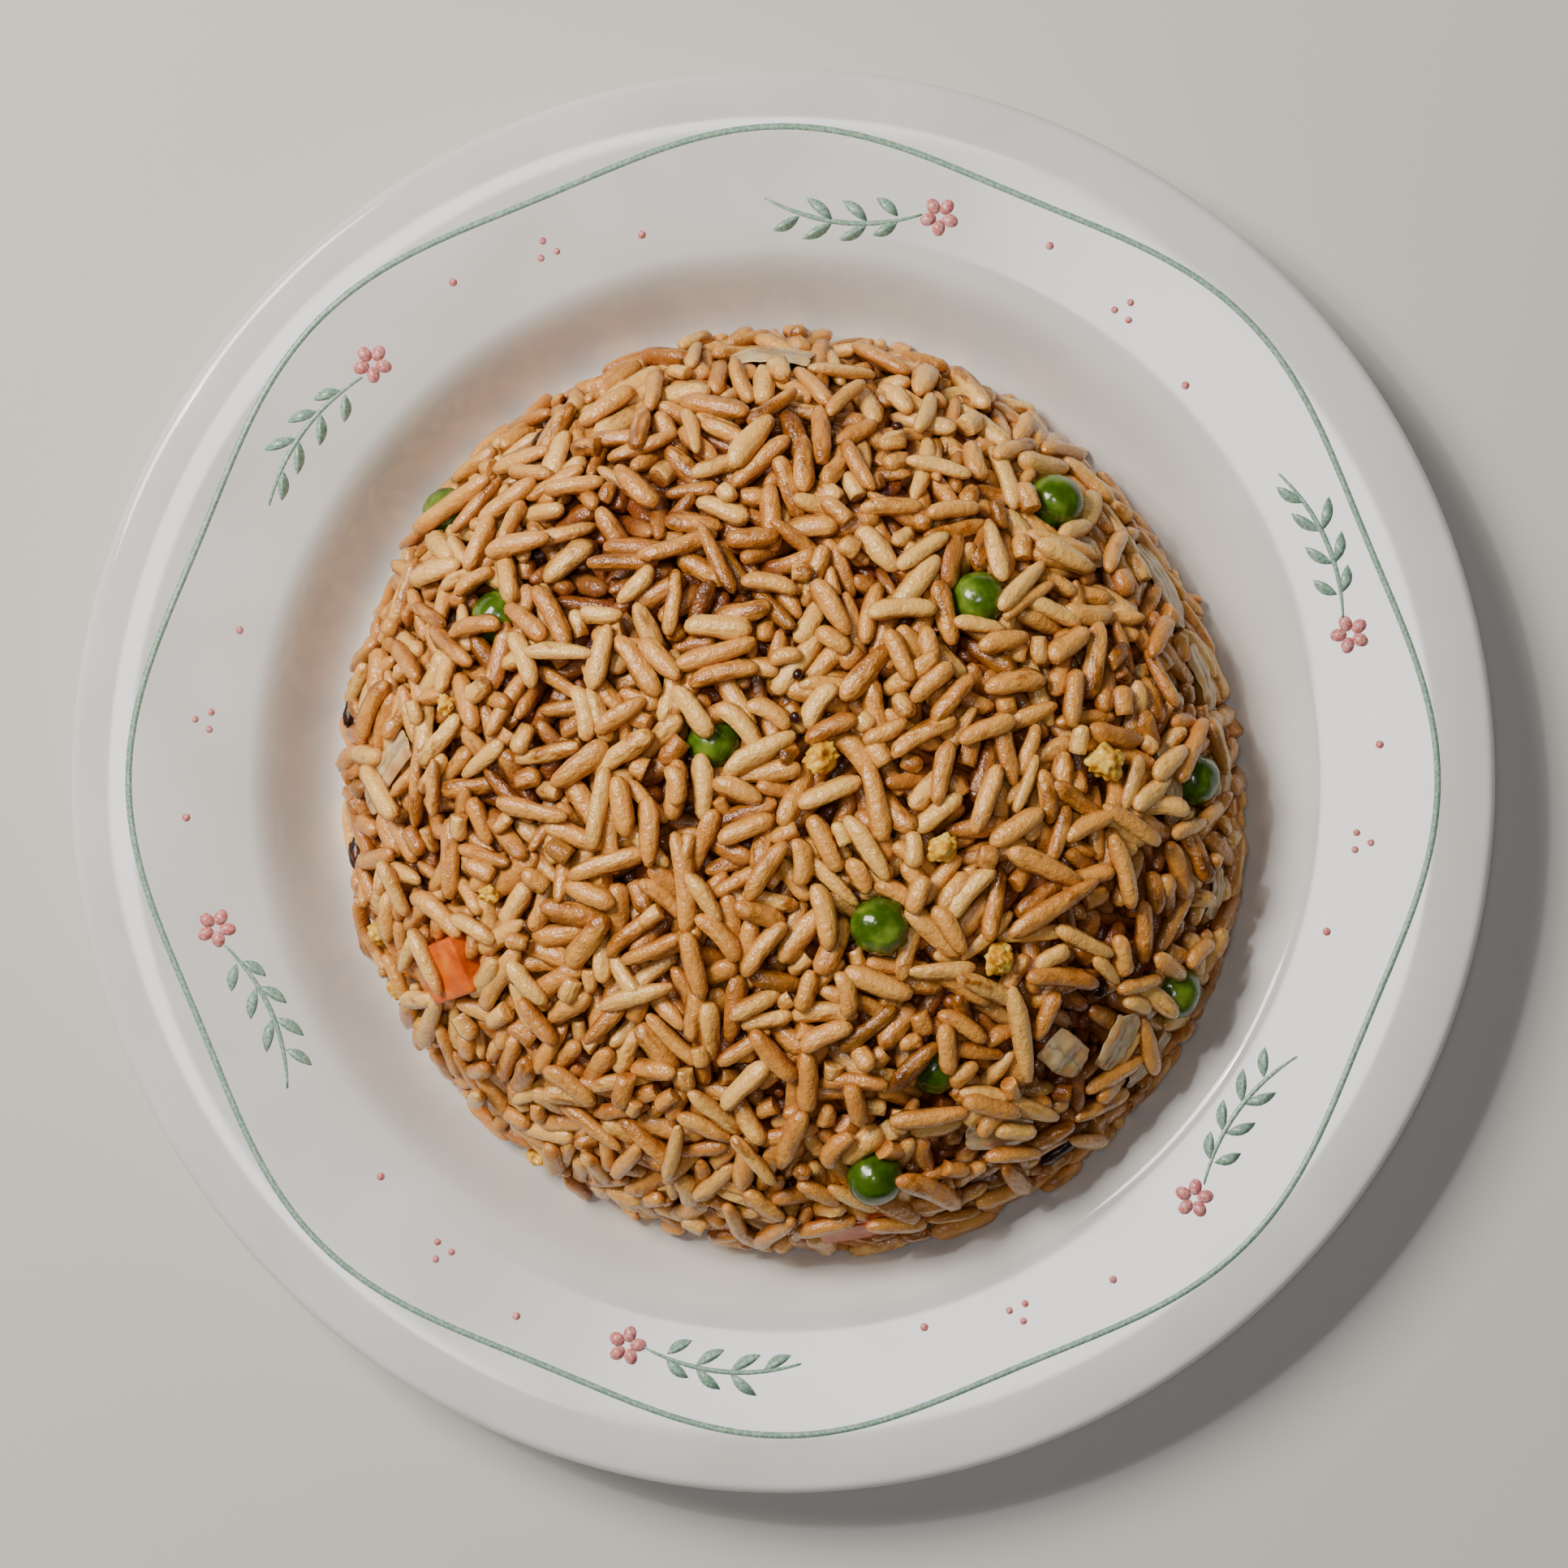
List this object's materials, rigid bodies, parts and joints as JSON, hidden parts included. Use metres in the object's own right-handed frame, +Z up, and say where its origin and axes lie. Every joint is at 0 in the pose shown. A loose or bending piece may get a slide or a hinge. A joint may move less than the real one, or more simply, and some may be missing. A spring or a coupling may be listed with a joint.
{
  "type": "fried rice plate",
  "caption": "Domed mound of fried rice with peas, carrot, onion slices and egg crumbs, served in the well of a round white glazed plate with a wide flange.",
  "frame": {"origin": "centre of the plate's foot ring, on the surface that the plate stands on", "axes": "+Z up out of the plate, +Y towards the top of the picture, +X to its right"},
  "size_m": [0.2158, 0.2158, 0.0498],
  "materials": {
    "glaze": "smooth white gloss glaze with a thin sage green and coral flower print on the flange",
    "rice": "moist cooked grains, oily sheen, browned with soy sauce",
    "pea": "glossy cooked green skin",
    "carrot": "moist cut orange faces",
    "onion": "translucent, ribbed, moist",
    "browned": "dark browned, glossy with oil"
  },
  "bodies": {
    "root": {"plate": "glaze", "rice_heap": "rice", "pea_01": "pea", "pea_02": "pea", "pea_03": "pea", "pea_04": "pea", "pea_05": "pea", "pea_06": "pea", "pea_07": "pea", "pea_08": "pea", "pea_09": "pea", "pea_10": "pea", "carrot_dice": "carrot", "carrot_slice": "carrot", "onion_slice_01": "onion", "onion_slice_02": "onion", "onion_slice_03": "onion", "onion_slice_04": "onion", "onion_slice_05": "onion", "onion_slice_06": "onion", "onion_slice_07": "onion", "onion_slice_08": "onion", "onion_slice_09": "onion", "onion_slice_10": "onion", "onion_slice_11": "onion", "onion_slice_12": "onion", "onion_slice_13": "onion", "browned_bit_01": "browned", "browned_bit_02": "browned", "browned_bit_03": "browned"}
  },
  "joints": []
}
